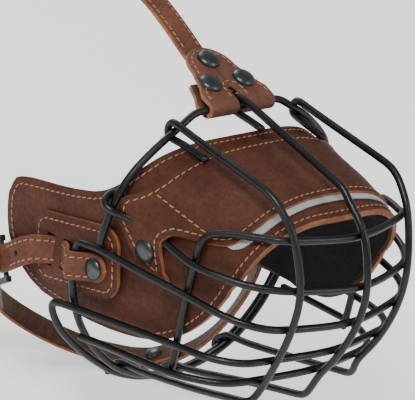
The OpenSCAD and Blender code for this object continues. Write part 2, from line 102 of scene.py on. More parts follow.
floor_mesh = bpy.data.meshes.new("floor")
floor_z, floor_half = cad_low.z - 0.002, 6
floor_signs = ((-1, -1), (1, -1), (1, 1), (-1, 1))
floor_corners = [(x * floor_half, y * floor_half, floor_z) for x, y in floor_signs]
floor_mesh.from_pydata(floor_corners, [], [(0, 1, 2, 3)])
floor = bpy.data.objects.new("floor", floor_mesh)
bpy.context.scene.collection.objects.link(floor)
floor_paint = bpy.data.materials.new("floor_paint")
floor_paint.use_nodes = True
floor_shader = floor_paint.node_tree.nodes["Principled BSDF"]
floor_shader.inputs["Base Color"].default_value = (0.98, 0.98, 0.98, 1)
floor_shader.inputs["Emission Color"].default_value = (1, 1, 1, 1)
floor_shader.inputs["Emission Strength"].default_value = 0.6
floor_shader.inputs["Roughness"].default_value = 0.9
floor_shader.inputs["Specular IOR Level"].default_value = 0.1
floor_mesh.materials.append(floor_paint)

# ---- Wire cage ----
# Nine lengths of steel wire, bent, welded where they cross and dipped in a semi-gloss
# black coating that pulls smooth over the welds and the cut ends.
WIRES = ["rear_hoop", "cheek_hoop", "jaw_hoop", "bridge_hoop", "top_hoop", "chin_hoop",
         "center_front_wire", "right_front_wire", "left_front_wire"]


def add(tree, kind, **values):
    """A shader node with its properties and the values of its input sockets."""
    made = tree.nodes.new(kind)
    for name, value in values.items():
        if hasattr(made, name):
            setattr(made, name, value)
        else:
            made.inputs[name.replace("_", " ")].default_value = value
    return made


def new_material(name):
    material = bpy.data.materials.new(name)
    material.use_nodes = True
    tree = material.node_tree
    return material, tree, tree.nodes["Principled BSDF"]


def ramp(tree, factor, stops):
    made = tree.nodes.new("ShaderNodeValToRGB")
    made.color_ramp.elements.remove(made.color_ramp.elements[1])
    for i, (place, colour) in enumerate(stops):
        stop = made.color_ramp.elements[0] if i == 0 else made.color_ramp.elements.new(place)
        stop.position = place
        stop.color = (*colour, 1) if isinstance(colour, tuple) else (colour, colour, colour, 1)
    tree.links.new(factor, made.inputs["Fac"])
    return made.outputs["Color"]


def bumped(tree, shader, height, depth):
    bump = add(tree, "ShaderNodeBump", Strength=1.0, Distance=depth)
    tree.links.new(height, bump.inputs["Height"])
    tree.links.new(bump.outputs["Normal"], shader.inputs["Normal"])


def smoothing(name, angle):
    """Geometry nodes that shade a part smooth up to an angle."""
    tree = bpy.data.node_groups.new(name, "GeometryNodeTree")
    tree.interface.new_socket(name="Geometry", in_out="INPUT", socket_type="NodeSocketGeometry")
    tree.interface.new_socket(name="Geometry", in_out="OUTPUT", socket_type="NodeSocketGeometry")
    start, end = tree.nodes.new("NodeGroupInput"), tree.nodes.new("NodeGroupOutput")
    faces = tree.nodes.new("GeometryNodeSetShadeSmooth")
    faces.domain = "FACE"
    edges = tree.nodes.new("GeometryNodeSetShadeSmooth")
    edges.domain = "EDGE"
    edges.inputs["Shade Smooth"].default_value = False
    sharp = tree.nodes.new("FunctionNodeCompare")
    sharp.operation = "GREATER_THAN"
    sharp.inputs["B"].default_value = math.radians(angle)
    bend = tree.nodes.new("GeometryNodeInputMeshEdgeAngle")
    tree.links.new(bend.outputs["Unsigned Angle"], sharp.inputs["A"])
    tree.links.new(sharp.outputs["Result"], edges.inputs["Selection"])
    tree.links.new(start.outputs[0], faces.inputs["Geometry"])
    tree.links.new(faces.outputs["Geometry"], edges.inputs["Geometry"])
    tree.links.new(edges.outputs["Geometry"], end.inputs[0])
    return tree


smooth_round = smoothing("smooth_round", 75)
smooth_edged = smoothing("smooth_edged", 40)


def round_edges(piece, width, segments, angle):
    edge = piece.modifiers.new("edge", "BEVEL")
    edge.width, edge.segments, edge.limit_method = width * MM, segments, "ANGLE"
    edge.angle_limit = math.radians(angle)


def finish_part(name, material, group, bevel=0.0, rounds=0):
    """Gives a machined part its finish, softened edges and smooth shading."""
    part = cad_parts[name]
    part.data.materials.clear()
    part.data.materials.append(material)
    weld = part.modifiers.new("weld", "WELD")
    weld.merge_threshold = 0.01 * MM
    if bevel:
        round_edges(part, bevel, 3, 50)
    if rounds:
        part.modifiers.new("round", "SUBSURF").render_levels = rounds
        part.modifiers["round"].levels = rounds
    part.modifiers.new("shade", "NODES").node_group = group
    return part


coated_wire, tree, shader = new_material("coated_wire")
shader.inputs["Specular IOR Level"].default_value = 0.34
where = add(tree, "ShaderNodeTexCoord")
patchy = add(tree, "ShaderNodeTexNoise", Scale=55.0, Detail=4.0, Roughness=0.6)
peel = add(tree, "ShaderNodeTexNoise", Scale=700.0, Detail=2.0, Roughness=0.5)
for texture in (patchy, peel):
    tree.links.new(where.outputs["Object"], texture.inputs["Vector"])
coat_tones = [(0.3, (0.002, 0.002, 0.0025)), (0.7, (0.006, 0.0065, 0.007))]
coat_gloss = [(0.35, 0.30), (0.65, 0.44)]
tree.links.new(ramp(tree, patchy.outputs["Fac"], coat_tones), shader.inputs["Base Color"])
tree.links.new(ramp(tree, patchy.outputs["Fac"], coat_gloss), shader.inputs["Roughness"])
bumped(tree, shader, peel.outputs["Fac"], 0.12 * MM)
for wire_name in WIRES:
    finish_part(wire_name, coated_wire, smooth_round, rounds=1)

# ---- Nose pad ----
# One piece of oiled brown leather, arched over the nose with a flap down each cheek, cut
# raw at the edge and stitched round in tan. Its two outlines give y at angles round the
# arch, from 0 at the crown to the foot of the flap.
leather_t = 3.0
pad_reach = 134
arch_w, arch_h, arch_power = 71.0, 55.5, 0.68
pad_back = [(0, -8), (44, -2), (55, 1), (64, 5), (70, 10), (74.5, 17), (78, 28), (82, 46), (85, 64),
            (87, 72), (92, 76), (112, 73), (124, 65), (131, 54), (134, 44)]
pad_front = [(0, -80), (16, -79), (43, -77), (64, -74), (82, -70), (90, -65), (100, -60), (110, -53),
             (120, -43), (127, -31), (131, -15), (134, 18)]


def follow(table, key):
    """Smooth curve through an outline's (angle, y) pairs, with no overshoot."""
    keys = [q[0] for q in table]
    key = min(max(key, keys[0]), keys[-1])
    i = min(max(bisect.bisect_right(keys, key) - 1, 0), len(table) - 2)

    def slope(k):
        before, after = max(k - 1, 0), min(k + 1, len(table) - 1)
        left = (table[k][1] - table[before][1]) / max(keys[k] - keys[before], 1e-6)
        ahead = (table[after][1] - table[k][1]) / max(keys[after] - keys[k], 1e-6)
        if k == 0 or k == len(table) - 1:
            return 0 if k == 0 else left
        return 0 if left * ahead <= 0 else 2 * left * ahead / (left + ahead)

    span = keys[i + 1] - keys[i]
    t = (key - keys[i]) / span
    a, b = table[i][1], table[i + 1][1]
    return ((2 * t**3 - 3 * t**2 + 1) * a + (t**3 - 2 * t**2 + t) * span * slope(i)
            + (3 * t**2 - 2 * t**3) * b + (t**3 - t**2) * span * slope(i + 1))


def on_arch(angle, y, lift):
    """A point on the pad's face, lifted off it, in metres."""
    wave = 0.5 * noise.noise(Vector((angle / 23, y / 19, 3.1)))
    a, side = abs(angle), -1 if angle < 0 else 1
    w = arch_w + 0.24 * min(y, 0) + lift + wave
    h = arch_h + 0.19 * min(y, 0) + lift + wave
    if a < 90:
        x, z = w * math.sin(math.radians(a)) ** arch_power, h * math.cos(math.radians(a)) ** arch_power
    else:
        x, z = w - 3 * ((a - 90) / 44) ** 2, 90 - a
    return Vector((side * x, y, z)) * MM


def leather_piece(name, points, faces, kinds, materials):
    """A closed mesh, where kinds gives each face's material: 0 face, 1 cut edge, 2 back."""
    mesh = bpy.data.meshes.new(name)
    mesh.from_pydata(points, [], faces)
    for material in materials:
        mesh.materials.append(material)
    mesh.polygons.foreach_set("material_index", kinds)
    mesh.polygons.foreach_set("use_smooth", [True] * len(kinds))
    mesh.validate()
    shape = bmesh.new()
    shape.from_mesh(mesh)
    bmesh.ops.recalc_face_normals(shape, faces=shape.faces)
    shape.to_mesh(mesh)
    shape.free()
    piece = bpy.data.objects.new(name, mesh)
    bpy.context.scene.collection.objects.link(piece)
    return piece


def grid_solid(name, outer, inner, materials):
    """Closed sheet between two grids of points: faces, then backs, then the cut edge."""
    rows, columns = len(outer), len(outer[0])
    points = [p for row in outer for p in row] + [p for row in inner for p in row]
    low = rows * columns
    faces, kinds = [], []
    for i in range(rows - 1):
        for j in range(columns - 1):
            a = i * columns + j
            quad = (a, a + 1, a + columns + 1, a + columns)
            faces += [quad, tuple(low + k for k in reversed(quad))]
            kinds += [0, 2]
    rim = ([j for j in range(columns)] + [i * columns + columns - 1 for i in range(1, rows)]
           + [(rows - 1) * columns + j for j in reversed(range(columns - 1))]
           + [i * columns for i in reversed(range(1, rows - 1))])
    for k, a in enumerate(rim):
        b = rim[(k + 1) % len(rim)]
        faces.append((b, a, low + a, low + b))
        kinds.append(1)
    piece = leather_piece(name, points, faces, kinds, materials)
    round_edges(piece, 0.45, 2, 60)
    piece.modifiers.new("shade", "NODES").node_group = smooth_edged
    return piece


def arch_sheet(name, last, step, back_edge, front_edge, low, high, columns, materials):
    """Sheet on the arch between two outlines, where low and high give its lift at a place."""
    angles = [-last + step * k for k in range(int(2 * last / step) + 1)]
    outer, inner = [], []
    for angle in angles:
        y0, y1 = follow(back_edge, abs(angle)), follow(front_edge, abs(angle))
        ys = [y0 + (y1 - y0) * j / columns for j in range(columns + 1)]
        outer.append([on_arch(angle, y, high(angle, y)) for y in ys])
        inner.append([on_arch(angle, y, low(angle, y)) for y in ys])
    return grid_solid(name, outer, inner, materials)


def leather_group():
    """Oiled leather: pull-up clouding, fine grain creases and pores, over a base colour."""
    group = bpy.data.node_groups.new("oiled_leather", "ShaderNodeTree")
    face = group.interface
    face.new_socket(name="Base", in_out="INPUT", socket_type="NodeSocketColor")
    face.new_socket(name="Deep", in_out="INPUT", socket_type="NodeSocketColor")
    face.new_socket(name="Grain", in_out="INPUT", socket_type="NodeSocketFloat").default_value = 1000
    face.new_socket(name="Colour", in_out="OUTPUT", socket_type="NodeSocketColor")
    face.new_socket(name="Roughness", in_out="OUTPUT", socket_type="NodeSocketFloat")
    face.new_socket(name="Height", in_out="OUTPUT", socket_type="NodeSocketFloat")
    given, made = group.nodes.new("NodeGroupInput"), group.nodes.new("NodeGroupOutput")
    place = add(group, "ShaderNodeTexCoord").outputs["Object"]
    cloud = add(group, "ShaderNodeTexNoise", Scale=32.0, Detail=5.0, Roughness=0.62)
    speck = add(group, "ShaderNodeTexNoise", Scale=420.0, Detail=4.0, Roughness=0.65)
    crease = add(group, "ShaderNodeTexVoronoi", feature="DISTANCE_TO_EDGE")
    for texture in (cloud, speck, crease):
        group.links.new(place, texture.inputs["Vector"])
    group.links.new(given.outputs["Grain"], crease.inputs["Scale"])
    tone = add(group, "ShaderNodeMix", data_type="RGBA")
    group.links.new(ramp(group, cloud.outputs["Fac"], [(0.34, 0.0), (0.66, 1.0)]), tone.inputs["Factor"])
    group.links.new(given.outputs["Deep"], tone.inputs["A"])
    group.links.new(given.outputs["Base"], tone.inputs["B"])
    flecked = add(group, "ShaderNodeMix", data_type="RGBA", blend_type="MULTIPLY")
    flecked.inputs["Factor"].default_value = 1.0
    group.links.new(tone.outputs["Result"], flecked.inputs["A"])
    group.links.new(ramp(group, speck.outputs["Fac"], [(0.3, 0.72), (0.6, 1.12)]), flecked.inputs["B"])
    group.links.new(flecked.outputs["Result"], made.inputs["Colour"])
    group.links.new(ramp(group, speck.outputs["Fac"], [(0.3, 0.66), (0.7, 0.50)]), made.inputs["Roughness"])
    raised = add(group, "ShaderNodeMath", operation="MULTIPLY_ADD")
    raised.inputs[1].default_value = 0.55
    group.links.new(ramp(group, crease.outputs["Distance"], [(0.0, 0.0), (0.16, 1.0)]), raised.inputs[0])
    group.links.new(speck.outputs["Fac"], raised.inputs[2])
    group.links.new(raised.outputs["Value"], made.inputs["Height"])
    return group


oiled_leather = leather_group()


def leather(name, base, deep, grain):
    material, leather_tree, face = new_material(name)
    group = leather_tree.nodes.new("ShaderNodeGroup")
    group.node_tree = oiled_leather
    group.inputs["Base"].default_value = (*base, 1)
    group.inputs["Deep"].default_value = (*deep, 1)
    group.inputs["Grain"].default_value = grain
    face.inputs["Specular IOR Level"].default_value = 0.2
    leather_tree.links.new(group.outputs["Colour"], face.inputs["Base Color"])
    leather_tree.links.new(group.outputs["Roughness"], face.inputs["Roughness"])
    bumped(leather_tree, face, group.outputs["Height"], 0.16 * MM)
    return material


pad_brown = leather("pad_brown", (0.084, 0.0250, 0.0125), (0.046, 0.0130, 0.0065), 950.0)
raw_edge = leather("raw_edge", (0.34, 0.135, 0.058), (0.20, 0.075, 0.032), 1500.0)
flesh_side = leather("flesh_side", (0.11, 0.05, 0.028), (0.065, 0.028, 0.017), 1300.0)
cut_leather = [pad_brown, raw_edge, flesh_side]

thread, tree, shader = new_material("tan_thread")
shader.inputs["Roughness"].default_value = 0.7
where = add(tree, "ShaderNodeTexCoord")
twist = add(tree, "ShaderNodeTexWave", Scale=900.0, Distortion=1.5, bands_direction="DIAGONAL")
tree.links.new(where.outputs["Object"], twist.inputs["Vector"])
# The thread darkens where the twist's bump is low, which is painted shade in its grooves.
thread_groove_shade_tones = [(0.0, (0.30, 0.12, 0.055)), (1.0, (0.56, 0.27, 0.14))]
tree.links.new(ramp(tree, twist.outputs["Fac"], thread_groove_shade_tones), shader.inputs["Base Color"])
bumped(tree, shader, twist.outputs["Fac"], 0.15 * MM)

# Painted shade: flat near-black blobs laid at the needle holes stand in for the shade inside them.
painted_hole_shade, tree, shader = new_material("painted_hole_shade")
shader.inputs["Roughness"].default_value = 0.9
where = add(tree, "ShaderNodeTexCoord")
shade = add(tree, "ShaderNodeTexNoise", Scale=900.0)
tree.links.new(where.outputs["Object"], shade.inputs["Vector"])
hole_shade_tones = [(0.3, (0.008, 0.003, 0.002)), (0.7, (0.03, 0.012, 0.007))]
tree.links.new(ramp(tree, shade.outputs["Fac"], hole_shade_tones), shader.inputs["Base Color"])

stitch_pitch = 3.8
thread_r = 0.42
stitch_slant = 0.16
hole_shade_half_l, hole_shade_half_w = 0.5, 0.42


def stitch_mesh(name, rows):
    """Rows of (point, normal) pairs become threads, with a flat dark blob of painted shade at each needle
    hole.
    """
    points, faces, kinds = [], [], []

    def blob(middle, along, across, upwards, kind):
        start = len(points)
        rings = [(-1.0, 0.0), (-0.8, 0.65), (0.0, 1.0), (0.8, 0.65), (1.0, 0.0)]
        for place, swell in rings:
            for k in range(6):
                a = math.pi * k / 3
                outward = across * math.cos(a) + upwards * math.sin(a)
                points.append(middle + along * place + outward * max(swell, 0.15))
        for i in range(4):
            for k in range(6):
                a, b = start + i * 6 + k, start + i * 6 + (k + 1) % 6
                faces.append((a, b, b + 6, a + 6))
                kinds.append(kind)
        faces.append(tuple(start + k for k in reversed(range(6))))
        faces.append(tuple(start + 24 + k for k in range(6)))
        kinds.extend((kind, kind))

    for row in rows:
        reach = [0.0]
        for (p, _), (q, _) in zip(row, row[1:]):
            reach.append(reach[-1] + (q - p).length)
        count = int(reach[-1] / (stitch_pitch * MM))
        if count < 1:
            continue
        pitch = reach[-1] / count

        def at(distance):
            i = min(max(bisect.bisect_right(reach, distance) - 1, 0), len(row) - 2)
            t = (distance - reach[i]) / max(reach[i + 1] - reach[i], 1e-9)
            return row[i][0].lerp(row[i + 1][0], t), row[i][1].lerp(row[i + 1][1], t).normalized()

        for k in range(count):
            first, _ = at((k + 0.10) * pitch)
            last, _ = at((k + 0.90) * pitch)
            middle, normal = at((k + 0.5) * pitch)
            half = (last - first) / 2
            across = normal.cross(half).normalized()
            half = half + across * stitch_slant * MM
            blob(middle + normal * 0.10 * MM, half, across * thread_r * MM, normal * 0.8 * thread_r * MM, 0)
            # A flat dark blob at the hole is painted shade.
            hole, normal = at(k * pitch)
            along = half.normalized() * hole_shade_half_l * MM
            blob(hole, along, across * hole_shade_half_w * MM, normal * 0.10 * MM, 1)
    mesh = bpy.data.meshes.new(name)
    mesh.from_pydata(points, [], faces)
    mesh.materials.append(thread)
    mesh.materials.append(painted_hole_shade)
    mesh.polygons.foreach_set("material_index", kinds)
    mesh.polygons.foreach_set("use_smooth", [True] * len(kinds))
    piece = bpy.data.objects.new(name, mesh)
    bpy.context.scene.collection.objects.link(piece)
    return piece


# Distance round the arch at mid depth, so that seams keep an even margin
UNROLL_Y = -30
unrolled = [0.0]
for k in range(1, pad_reach + 1):
    unrolled.append(unrolled[-1] + (on_arch(k, UNROLL_Y, 0) - on_arch(k - 1, UNROLL_Y, 0)).length / MM)


def rolled_out(angle):
    a = min(abs(angle), pad_reach)
    i = min(int(a), pad_reach - 1)
    return math.copysign(unrolled[i] + (unrolled[i + 1] - unrolled[i]) * (a - i), angle)


def rolled_up(distance):
    d = min(abs(distance), unrolled[-1])
    i = min(max(bisect.bisect_right(unrolled, d) - 1, 0), pad_reach - 1)
    return math.copysign(i + (d - unrolled[i]) / (unrolled[i + 1] - unrolled[i]), distance)


def set_in(outline, margin):
    """Points a margin inside a closed flat outline, leaving out those that cut a corner."""
    count, kept = len(outline), []
    area = sum(p.cross(q) for p, q in zip(outline, outline[1:] + outline[:1]))
    for i, p in enumerate(outline):
        along = outline[(i + 1) % count] - outline[i - 1]
        inward = Vector((-along.y, along.x)).normalized() * (1 if area > 0 else -1)
        q = p + inward * margin
        if min((q - o).length for o in outline) > 0.96 * margin:
            kept.append(q)
    return kept


def outline_of(last, back_edge, front_edge):
    """Even points round a sheet's outline, with the arch rolled out flat."""
    angles = [-last + k for k in range(2 * int(last) + 1)]
    there = [Vector((rolled_out(a), follow(back_edge, abs(a)))) for a in angles]
    again = [Vector((rolled_out(a), follow(front_edge, abs(a)))) for a in reversed(angles)]
    edge = there + [there[-1].lerp(again[0], k / 6) for k in range(1, 6)] + again
    edge += [again[-1].lerp(there[0], k / 6) for k in range(1, 6)]
    even = [edge[0]]
    for p in edge + [edge[0]]:
        while (p - even[-1]).length > 1.2:
            even.append(even[-1] + (p - even[-1]).normalized() * 1.0)
    return even


def arch_row(flat, lift):
    """Points and normals on the arch along a flat row of (distance round, y)."""
    row = []
    for q in flat:
        a = rolled_up(q.x)
        p = on_arch(a, q.y, lift(a, q.y))
        up_here = lift(a, q.y)
        du = on_arch(rolled_up(q.x + 0.5), q.y, up_here) - on_arch(rolled_up(q.x - 0.5), q.y, up_here)
        dv = on_arch(a, q.y - 0.5, lift(a, q.y - 0.5)) - on_arch(a, q.y + 0.5, lift(a, q.y + 0.5))
        normal = dv.cross(du).normalized()
        outward = Vector((p.x, 0, p.z + 0.02))
        row.append((p, normal if normal.dot(outward) > 0 else -normal))
    return row


nose_pad = arch_sheet("leather_nose_pad", pad_reach, 1, pad_back, pad_front,
                      lambda a, y: -leather_t, lambda a, y: 0.0, 26, cut_leather)
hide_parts("nose_pad")
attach(nose_pad, "basket")
pad_seam_line = set_in(outline_of(pad_reach, pad_back, pad_front), 3.4)
pad_seam = stitch_mesh("pad_seam", [arch_row(pad_seam_line + pad_seam_line[:1], lambda a, y: 0.0)])
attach(pad_seam, "basket")

# ---- Felt lining ----
# Thick black wool felt, glued inside the pad a little short of its edge. Its surface is
# matted, with loose fibres that catch the light.
felt_t = 3.0
felt_inset = 3.0
black_felt, tree, shader = new_material("black_felt")
shader.inputs["Roughness"].default_value = 0.95
shader.inputs["Specular IOR Level"].default_value = 0.05
shader.inputs["Sheen Weight"].default_value = 0.06
shader.inputs["Sheen Roughness"].default_value = 0.6
where = add(tree, "ShaderNodeTexCoord")
matting = add(tree, "ShaderNodeTexNoise", Scale=160.0, Detail=6.0, Roughness=0.75, Distortion=1.2)
fibre = add(tree, "ShaderNodeTexNoise", Scale=900.0, Detail=5.0, Roughness=0.8, Distortion=3.0)
for texture in (matting, fibre):
    tree.links.new(where.outputs["Object"], texture.inputs["Vector"])
felt_tones = [(0.3, (0.003, 0.003, 0.0035)), (0.7, (0.013, 0.013, 0.014))]
tree.links.new(ramp(tree, matting.outputs["Fac"], felt_tones), shader.inputs["Base Color"])
bumped(tree, shader, fibre.outputs["Fac"], 0.9 * MM)
felt_back = [(a, y - felt_inset) for a, y in pad_back]
felt_front = [(a, y + felt_inset) for a, y in pad_front]
felt = arch_sheet("felt_lining_pad", pad_reach - 3, 1, felt_back, felt_front,
                  lambda a, y: -leather_t - felt_t + 0.5 * noise.noise(Vector((a / 7, y / 6, 9))),
                  lambda a, y: -leather_t - 0.02, 30, [black_felt, black_felt, black_felt])
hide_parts("felt_lining")
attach(felt, "basket")

# ---- Overlay band and grey strip ----
# A second layer of leather, stitched along both edges and riveted over the bridge wire,
# which lifts it in a low ridge. A light woven strip is sewn in under its front edge.
band_t = 2.2
band_reach = 95
ridge_h, ridge_half_w = 4.0, 6.5
band_back = [(0, -19), (30, -18), (50, -15), (62, -10), (72, -4), (80, -4), (88, -12), (92, -22), (95, -34)]
band_front = [(0, -66), (20, -67), (40, -67), (55, -65), (62, -63), (66, -60), (70, -53), (73, -43),
              (76, -33), (81, -30), (86, -29.5), (95, -36)]


def ridge(angle, y):
    """How far the bridge wire lifts the band where it runs under it."""
    wire_s = rolled_out(80) + (y + 28) * -0.28
    off = (rolled_out(abs(angle)) - wire_s) / ridge_half_w
    return ridge_h * math.exp(-off * off) * min(max((y + 45) / 12, 0), 1)


def under_band(angle, y):
    return 0.1 + ridge(angle, y)


def over_band(angle, y):
    return 0.1 + band_t + ridge(angle, y)


overlay = arch_sheet("overlay_leather_band", band_reach, 0.5, band_back, band_front,
                     under_band, over_band, 26, cut_leather)
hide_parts("overlay_band")
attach(overlay, "basket")
band_line = set_in(outline_of(band_reach, band_back, band_front), 3.0)
seam_rows = [band_line + band_line[:1]]
seam_top, seam_foot = rolled_out(60.2), rolled_out(65.8)
seam_y, seam_run, seam_steps = -16, 31.6, 20
for side in (-1, 1):
    seam_rows.append([Vector((side * (seam_top + (seam_foot - seam_top) * k / seam_steps),
                              seam_y - seam_run * k / seam_steps)) for k in range(seam_steps + 1)])
band_seam = stitch_mesh("band_seam", [arch_row(row, over_band) for row in seam_rows])
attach(band_seam, "basket")

grey_tape, tree, shader = new_material("grey_tape")
shader.inputs["Sheen Weight"].default_value = 0.3
where = add(tree, "ShaderNodeTexCoord")
weave = add(tree, "ShaderNodeTexVoronoi", Scale=1400.0)
tree.links.new(where.outputs["Object"], weave.inputs["Vector"])
tape_tones = [(0.0, (0.24, 0.25, 0.26)), (0.8, (0.38, 0.39, 0.40))]
tree.links.new(ramp(tree, weave.outputs["Distance"], tape_tones), shader.inputs["Base Color"])
tree.links.new(ramp(tree, weave.outputs["Distance"], [(0.0, 0.35), (0.8, 0.55)]), shader.inputs["Roughness"])
bumped(tree, shader, weave.outputs["Distance"], 0.2 * MM)
strip_back = [(a, y + 0.5) for a, y in band_front]
strip_front = [(a, y - 3.4) for a, y in band_front]
strip = arch_sheet("grey_woven_strip", 67, 1, strip_back, strip_front,
                   lambda a, y: 0.05, lambda a, y: 1.1, 4, [grey_tape, grey_tape, grey_tape])
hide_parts("grey_strip")
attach(strip, "basket")

# ---- Cheek patches ----
# A rounded patch of the same leather on each cheek, sewn down round its edge and raised
# in the middle, with two slots that the strap's end is threaded through.
patch_l, patch_h, patch_r, patch_t = 60.0, 36.0, 10.0, 2.0
patch_y, patch_z = 20, -12
patch_foot, patch_rise, patch_rim = 71.3, 1.1, 9
patch_tilt = math.radians(-13)
slot_ys, slot_half_w, slot_half_l = (25.5, 37.5), 3.1, 8.2


def rounded_outline(length, height, radius, steps=10):
    corners = []
    for k, (sx, sy) in enumerate(((1, 1), (-1, 1), (-1, -1), (1, -1))):
        centre = Vector((sx * (length / 2 - radius), sy * (height / 2 - radius)))
        for j in range(steps + 1):
            a = math.pi / 2 * (k + j / steps)
            corners.append(centre + radius * Vector((math.cos(a), math.sin(a))))
    even = []
    for p, q in zip(corners, corners[1:] + corners[:1]):
        pieces = max(int((q - p).length / 1.5), 1)
        even += [p.lerp(q, j / pieces) for j in range(pieces)]
    return even


def on_patch(q, side, lift):
    """A point of the patch from its flat (along, up) place, in metres."""
    y = patch_y + q.x * math.cos(patch_tilt) - q.y * math.sin(patch_tilt)
    z = patch_z + q.x * math.sin(patch_tilt) + q.y * math.cos(patch_tilt)
    inset = min(patch_l / 2 - abs(q.x), patch_h / 2 - abs(q.y))
    t = min(max(inset / patch_rim, 0), 1)
    x = patch_foot + patch_rise * t * t * (3 - 2 * t) + lift
    return Vector((side * x, y, z)) * MM


def cut_box(y, side):
    """The block that punches one slot, centred on the strap's line across the patch."""
    mesh = bpy.data.meshes.new("punch")
    shape = bmesh.new()
    bmesh.ops.create_cube(shape, size=1)
    bmesh.ops.scale(shape, vec=(12 * MM, 2 * slot_half_w * MM, 2 * slot_half_l * MM), verts=shape.verts)
    bmesh.ops.translate(shape, vec=Vector((side * 74, y, -13.5 - (y - 14) * 0.12)) * MM, verts=shape.verts)
    shape.to_mesh(mesh)
    shape.free()
    punch = bpy.data.objects.new("punch", mesh)
    bpy.context.scene.collection.objects.link(punch)
    return punch


def cut_out(piece, punches):
    """Cuts the punches out of a piece, before its other modifiers, and keeps the result."""
    for k, punch in enumerate(punches):
        cut = piece.modifiers.new("cut_%d" % k, "BOOLEAN")
        cut.operation, cut.object, cut.solver = "DIFFERENCE", punch, "EXACT"
        piece.modifiers.move(len(piece.modifiers) - 1, k)
    bpy.context.view_layer.update()
    done = bpy.data.meshes.new_from_object(piece.evaluated_get(bpy.context.evaluated_depsgraph_get()))
    piece.modifiers.clear()
    piece.data = done
    for punch in punches:
        bpy.data.objects.remove(punch)


def cheek_patch(side, name, node):
    outline = rounded_outline(patch_l, patch_h, patch_r)
    rings = [[q * s for q in outline] for s in (1, 0.97, 0.92, 0.85, 0.76, 0.66, 0.54, 0.42, 0.28, 0.14)]
    points = [on_patch(q, side, lift) for lift in (patch_t, 0) for ring in rings for q in ring]
    points += [on_patch(Vector((0, 0)), side, lift) for lift in (patch_t, 0)]
    n, layers = len(outline), len(rings)
    faces, kinds = [], []
    for layer in (0, 1):
        base = layer * layers * n
        for i in range(layers - 1):
            for k in range(n):
                a, b = base + i * n + k, base + i * n + (k + 1) % n
                faces.append((a, b, b + n, a + n))
                kinds.append(2 * layer)
        last_ring, middle = base + (layers - 1) * n, 2 * layers * n + layer
        for k in range(n):
            faces.append((last_ring + k, last_ring + (k + 1) % n, middle))
            kinds.append(2 * layer)
    for k in range(n):
        faces.append((k, (k + 1) % n, layers * n + (k + 1) % n, layers * n + k))
        kinds.append(1)
    patch = leather_piece(name, points, faces, kinds, cut_leather)
    cut_out(patch, [cut_box(y, side) for y in slot_ys])
    round_edges(patch, 0.5, 2, 55)
    patch.modifiers.new("shade", "NODES").node_group = smooth_edged
    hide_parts(node)
    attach(patch, "basket")
    line = set_in(outline, 3.2)
    row = [(on_patch(q, side, patch_t), Vector((side, 0, 0))) for q in line + line[:1]]
    seam = stitch_mesh(name + "_seam", [row])
    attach(seam, "basket")


cheek_patch(-1, "right_patch", "right_cheek_patch")
cheek_patch(1, "left_patch", "left_cheek_patch")

# ---- Straps ----
# Flat straps of the same hide, cut raw and stitched along both edges. They are threaded,
# lapped, folded and riveted, and the one that holds the buckle has a spare punched hole.
strap_w, head_w, strap_t, tab_t = 14.0, 15.0, 2.6, 2.3
seam_inset = 2.3
strap_brown = leather("strap_brown", (0.145, 0.054, 0.029), (0.088, 0.031, 0.017), 950.0)


def through(points, steps=6):
    """Smooth curve through every point of a list."""
    points = [Vector(p) for p in points]
    last, made = len(points) - 1, []
    for i in range(last):
        a, b = points[max(i - 1, 0)], points[i]
        c, d = points[i + 1], points[min(i + 2, last)]
        for k in range(steps):
            t = k / steps
            made.append(0.5 * (2 * b + (c - a) * t + (2 * a - 5 * b + 4 * c - d) * t * t
                               + (3 * b - a - 3 * c + d) * t**3))
    return made + [points[-1]]


def leather_strap(name, points, wide, width, thickness=strap_t, round_ends=(0, 0), bare=(0, 0)):
    """A strap along points in millimetres, with its width along wide, and its stitches.

    round_ends and bare give, for each end, the length that is rounded off and the length
    that has no stitches.
    """
    places = [-1, -0.94, -0.8, -0.4, 0, 0.4, 0.8, 0.94, 1]
    drop = [0.30, 0.1, 0, 0, 0, 0, 0, 0.1, 0.30]
    path, hints = through(points), through(wide)
    count = len(path)
    reach = [0.0]
    for p, q in zip(path, path[1:]):
        reach.append(reach[-1] + (q - p).length)
    outer, inner, rows = [], [], ([], [])
    for i, p in enumerate(path):
        along = (path[min(i + 1, count - 1)] - path[max(i - 1, 0)]).normalized()
        across = (hints[i] - hints[i].dot(along) * along).normalized()
        out = along.cross(across)
        share = 1.0
        for end, distance in ((round_ends[0], reach[i]), (round_ends[1], reach[-1] - reach[i])):
            if end and distance < end:
                share = min(share, math.sqrt(max(1 - (1 - distance / end) ** 2, 0.02)))
        half = width / 2 * share
        outer.append([(p + across * half * s + out * (thickness / 2 - c)) * MM for s, c in zip(places, drop)])
        inner.append([(p + across * half * s - out * (thickness / 2 - c)) * MM for s, c in zip(places, drop)])
        if bare[0] <= reach[i] <= reach[-1] - bare[1]:
            for side, row in zip((-1, 1), rows):
                row.append(((p + across * side * (half - seam_inset) + out * thickness / 2) * MM, out))
    strap = grid_solid(name, outer, inner, [strap_brown, raw_edge, flesh_side])
    sewn = stitch_mesh(name + "_seam", rows)
    return strap, sewn


def turned(vectors):
    return [tuple(-c for c in v) for v in vectors]


def mirrored(vectors):
    return [(-v[0], v[1], v[2]) for v in vectors]


